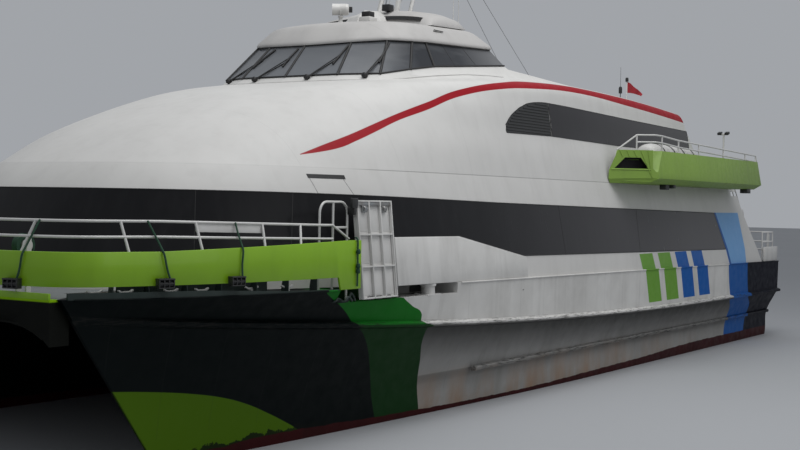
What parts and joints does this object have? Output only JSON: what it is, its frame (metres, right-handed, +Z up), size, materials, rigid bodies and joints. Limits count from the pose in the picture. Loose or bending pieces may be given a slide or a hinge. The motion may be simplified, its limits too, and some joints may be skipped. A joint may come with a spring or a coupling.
{
  "type": "fast passenger catamaran ferry",
  "caption": "Fast two-deck passenger catamaran with slim twin hulls, streamlined domed house, wheelhouse, boarding ramps, side platforms, mast and waterjets.",
  "frame": {"origin": "amidships on the centre line, at the water's surface", "axes": "+X towards the bow, +Y to port, +Z up"},
  "size_m": [35.5047, 11.2, 14.5527],
  "materials": {
    "white_paint": "weathered gloss",
    "lime_paint": "gloss",
    "green_paint": "gloss",
    "black_paint": "satin",
    "window_glass": "dark tinted",
    "deck_grey": "anti-slip matt",
    "steel": "satin",
    "red_cloth": "matt",
    "fender_rubber": "matt"
  },
  "bodies": {
    "ship": {"hull_port": "white_paint", "hull_starboard": "white_paint", "side_deck_port": "deck_grey", "side_deck_starboard": "deck_grey", "engine_port": "steel", "engine_starboard": "steel", "engine_hatch_port": "deck_grey", "engine_hatch_starboard": "deck_grey", "bridge_deck": "deck_grey", "main_house": "white_paint", "glass_main_port": "window_glass", "glass_main_starboard": "window_glass", "glass_main_front": "window_glass", "upper_house": "white_paint", "glass_upper_port": "window_glass", "glass_upper_starboard": "window_glass", "louvre_port": "black_paint", "louvre_starboard": "black_paint", "glass_wheelhouse": "window_glass", "wheelhouse_roof": "white_paint", "mast": "white_paint", "searchlight": "white_paint", "bow_bulwark": "lime_paint", "bow_rail": "white_paint", "gate_frame_port": "white_paint", "gate_frame_starboard": "white_paint", "side_bulwark_port": "white_paint", "side_bulwark_starboard": "white_paint", "side_platform_port": "green_paint", "side_platform_starboard": "green_paint", "platform_rail_port": "white_paint", "platform_rail_starboard": "white_paint", "raft_canister_port": "white_paint", "raft_canister_starboard": "white_paint", "aft_bulwark_port": "white_paint", "aft_bulwark_starboard": "white_paint", "aft_rail": "white_paint", "stair_port": "white_paint", "stair_starboard": "white_paint", "upper_rail": "white_paint", "lamp_post": "white_paint", "flag_staff": "white_paint", "flag": "red_cloth", "fender_1": "fender_rubber", "fender_2": "fender_rubber", "fender_3": "fender_rubber", "jet_flange_port": "steel", "jet_flange_starboard": "steel"},
    "radar": {"radar_scanner": "white_paint"},
    "upper_door_leaf": {"upper_door": "white_paint"},
    "ramp_port": {"boarding_ramp_port": "white_paint"},
    "main_door_leaf_port": {"main_door_port": "white_paint"},
    "nozzle_port": {"jet_nozzle_port": "steel"},
    "bucket_port": {"jet_bucket_port": "steel"},
    "ramp_starboard": {"boarding_ramp_starboard": "white_paint"},
    "main_door_leaf_starboard": {"main_door_starboard": "white_paint"},
    "nozzle_starboard": {"jet_nozzle_starboard": "steel"},
    "bucket_starboard": {"jet_bucket_starboard": "steel"}
  },
  "joints": [
    {"name": "radar_spin", "type": "hinge", "parent": "ship", "child": "radar", "pos_m": [1.5, 0, 11.56], "axis": [0, 0, 1], "continuous": true},
    {"name": "upper_door_hinge", "type": "hinge", "parent": "ship", "child": "upper_door_leaf", "pos_m": [-11.032, 0.435, 5.46], "axis": [0, 0, -1], "range_deg": [0, 100]},
    {"name": "ramp_hinge_port", "type": "hinge", "parent": "ship", "child": "ramp_port", "pos_m": [9.825, 5.06, 2.77], "axis": [-1, 0, 0], "range_deg": [0, 96]},
    {"name": "main_door_hinge_port", "type": "hinge", "parent": "ship", "child": "main_door_leaf_port", "pos_m": [-13.302, 0.815, 2.816], "axis": [0, 0, -1], "range_deg": [0, 100]},
    {"name": "jet_steering_port", "type": "hinge", "parent": "ship", "child": "nozzle_port", "pos_m": [-17.5, 3.7, 0.18], "axis": [0, 0, 1], "range_deg": [-30, 30]},
    {"name": "jet_bucket_port", "type": "hinge", "parent": "nozzle_port", "child": "bucket_port", "pos_m": [-17.78, 3.7, 0.18], "axis": [0, -1, 0], "range_deg": [0, 75]},
    {"name": "ramp_hinge_starboard", "type": "hinge", "parent": "ship", "child": "ramp_starboard", "pos_m": [9.825, -5.06, 2.77], "axis": [1, 0, 0], "range_deg": [0, 96]},
    {"name": "main_door_hinge_starboard", "type": "hinge", "parent": "ship", "child": "main_door_leaf_starboard", "pos_m": [-13.302, -0.815, 2.816], "axis": [0, 0, 1], "range_deg": [0, 100]},
    {"name": "jet_steering_starboard", "type": "hinge", "parent": "ship", "child": "nozzle_starboard", "pos_m": [-17.5, -3.7, 0.18], "axis": [0, 0, 1], "range_deg": [-30, 30]},
    {"name": "jet_bucket_starboard", "type": "hinge", "parent": "nozzle_starboard", "child": "bucket_starboard", "pos_m": [-17.78, -3.7, 0.18], "axis": [0, -1, 0], "range_deg": [0, 75]}
  ]
}
